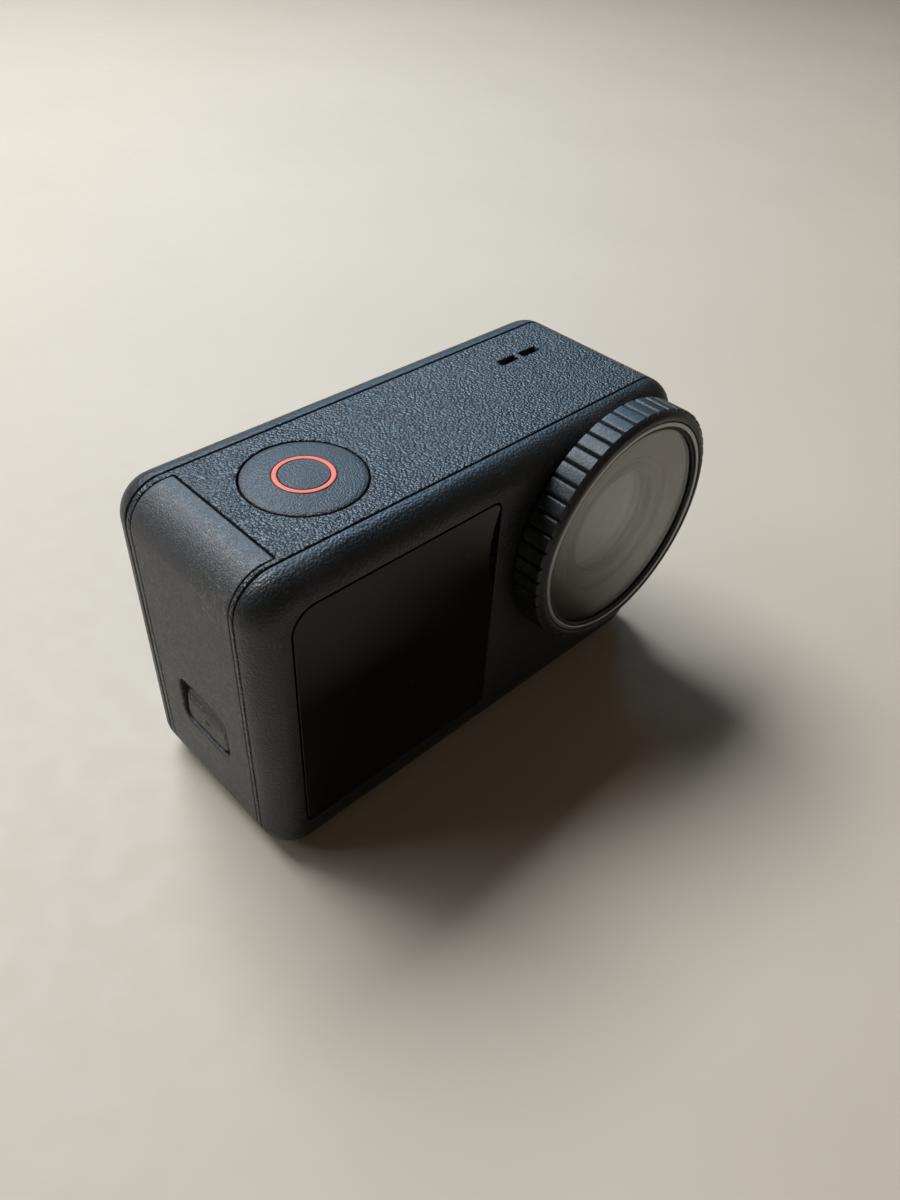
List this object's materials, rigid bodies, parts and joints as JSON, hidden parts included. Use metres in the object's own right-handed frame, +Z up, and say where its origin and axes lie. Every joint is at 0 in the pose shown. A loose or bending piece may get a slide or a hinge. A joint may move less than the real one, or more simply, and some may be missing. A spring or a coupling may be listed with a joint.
{
  "type": "action camera",
  "caption": "Pocket action camera: rounded box with a round ribbed lens cover, glossy front panel, big shutter button on top and a hinged battery door on one side.",
  "frame": {"origin": "middle of the bottom face, at the centre of the quick-release plate", "axes": "+X along the body, to the right as seen from the lens side; -Y is the front, where the lens is; +Z is up"},
  "size_m": [0.0705, 0.0329, 0.0442],
  "materials": {
    "shell": "fine-grained satin charcoal",
    "frame": "coarse leather grain, charcoal with a blue tint",
    "door": "fine matte charcoal",
    "button": "smooth matte charcoal",
    "orange": "satin coral orange",
    "panel_glass": "glossy black glass",
    "display": "dark display, off",
    "cover_metal": "black satin anodised metal",
    "bezel": "light grey satin",
    "cover_glass": "coated clear glass",
    "lens_glass": "coated clear glass",
    "barrel": "matte black anodised",
    "rubber": "matte black",
    "steel": "satin steel",
    "contact_metal": "gold plated",
    "copper": "satin copper",
    "circuit_board": "solder mask",
    "sensor": "glossy dark",
    "inner_plastic": "black moulded",
    "battery": "dark grey wrap"
  },
  "bodies": {
    "camera_body": {"front_shell": "shell", "mid_frame": "frame", "rear_shell": "shell", "front_glass": "panel_glass", "front_display": "display", "rear_glass": "panel_glass", "rear_display": "display", "lens_barrel": "barrel", "lens_retaining_ring": "barrel", "lens_front_element": "lens_glass", "lens_middle_element": "lens_glass", "lens_rear_element": "lens_glass", "infrared_filter": "lens_glass", "image_sensor": "sensor", "sensor_board": "circuit_board", "lens_screw_1": "steel", "lens_screw_2": "steel", "lens_screw_3": "steel", "lens_screw_4": "steel", "shutter_seal": "rubber", "shutter_switch": "steel", "microphone_mesh": "steel", "microphone_left": "contact_metal", "microphone_right": "contact_metal", "battery_door_pin": "steel", "battery_bay": "inner_plastic", "battery_pack": "battery", "battery_contacts": "contact_metal", "card_socket": "steel", "memory_card": "inner_plastic", "main_board": "circuit_board", "processor_shield": "steel", "heat_spreader": "copper", "antenna": "contact_metal", "speaker": "inner_plastic", "port_door_pin": "steel", "port_shell": "steel", "port_tongue": "inner_plastic", "port_board": "circuit_board", "mode_switch": "steel", "bottom_plate": "steel", "rear_screw_1": "steel", "rear_screw_2": "steel", "rear_screw_3": "steel", "rear_screw_4": "steel"},
    "shutter": {"shutter_button": "button", "shutter_ring": "orange"},
    "mode_key": {"mode_button": "button"},
    "battery_cover": {"battery_door": "door", "battery_door_seal": "rubber"},
    "door_latch": {"battery_door_latch": "door"},
    "port_cover": {"port_door": "door", "port_door_seal": "rubber"},
    "cover_seal": {"lens_cover_seal": "rubber"},
    "lens_cover": {"lens_cover_ring": "cover_metal", "lens_cover_glass": "cover_glass", "lens_cover_bezel": "bezel", "lens_cover_gasket": "rubber"}
  },
  "joints": [
    {"name": "shutter_press", "type": "slide", "parent": "camera_body", "child": "shutter", "axis": [0, 0, -1], "range_m": [0, 0.0006], "stiffness_N_per_m": 900},
    {"name": "mode_press", "type": "slide", "parent": "camera_body", "child": "mode_key", "axis": [-1, 0, 0], "range_m": [0, 0.0005], "stiffness_N_per_m": 900},
    {"name": "battery_door_hinge", "type": "hinge", "parent": "camera_body", "child": "battery_cover", "pos_m": [-0.02865, 0, 0.04185], "axis": [0, 1, 0], "range_deg": [0, 95]},
    {"name": "latch_slide", "type": "slide", "parent": "battery_cover", "child": "door_latch", "axis": [0, 0, 1], "range_m": [0, 0.0014], "stiffness_N_per_m": 300, "springref_m": -0.0003},
    {"name": "port_door_hinge", "type": "hinge", "parent": "camera_body", "child": "port_cover", "pos_m": [0.03315, 0.00445, 0.011], "axis": [0, 0, 1], "range_deg": [0, 95]},
    {"name": "lens_cover_draw", "type": "slide", "parent": "camera_body", "child": "cover_seal", "axis": [0, -1, 0], "range_m": [0, 0.0015]},
    {"name": "lens_cover_twist", "type": "hinge", "parent": "cover_seal", "child": "lens_cover", "pos_m": [0.0198, -0.0165, 0.0274], "axis": [0, -1, 0], "range_deg": [0, 720]}
  ],
  "couplings": [
    {"joint": "lens_cover_draw", "follows": "lens_cover_twist", "m_per_rad": 0.00011937}
  ]
}
